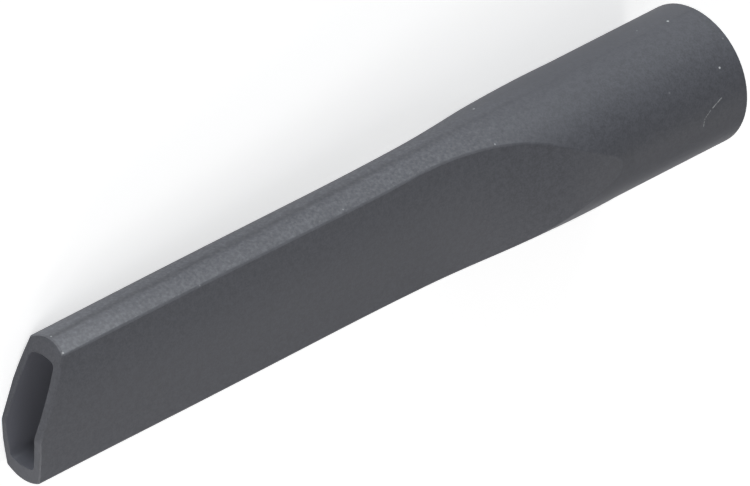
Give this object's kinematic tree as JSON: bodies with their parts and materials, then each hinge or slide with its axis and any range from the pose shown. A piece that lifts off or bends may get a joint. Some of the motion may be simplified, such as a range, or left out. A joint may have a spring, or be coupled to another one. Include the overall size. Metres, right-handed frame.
{
  "type": "vacuum crevice tool",
  "caption": "Moulded plastic crevice tool for a vacuum cleaner: a round push-fit socket that flattens into a long narrow blade with a slanted suction mouth.",
  "frame": {"origin": "centre of the socket's open end, on the socket's axis", "axes": "+X leaves the socket along its axis, so the tool runs towards -X to the mouth; Y is the blade's wide direction, with the set-back half of the mouth on +Y; Z is the blade's thickness"},
  "size_m": [0.2152, 0.037, 0.037],
  "materials": {
    "grey_plastic": "fine moulded grain, matte"
  },
  "bodies": {
    "root": {"crevice_nozzle": "grey_plastic"}
  },
  "joints": []
}
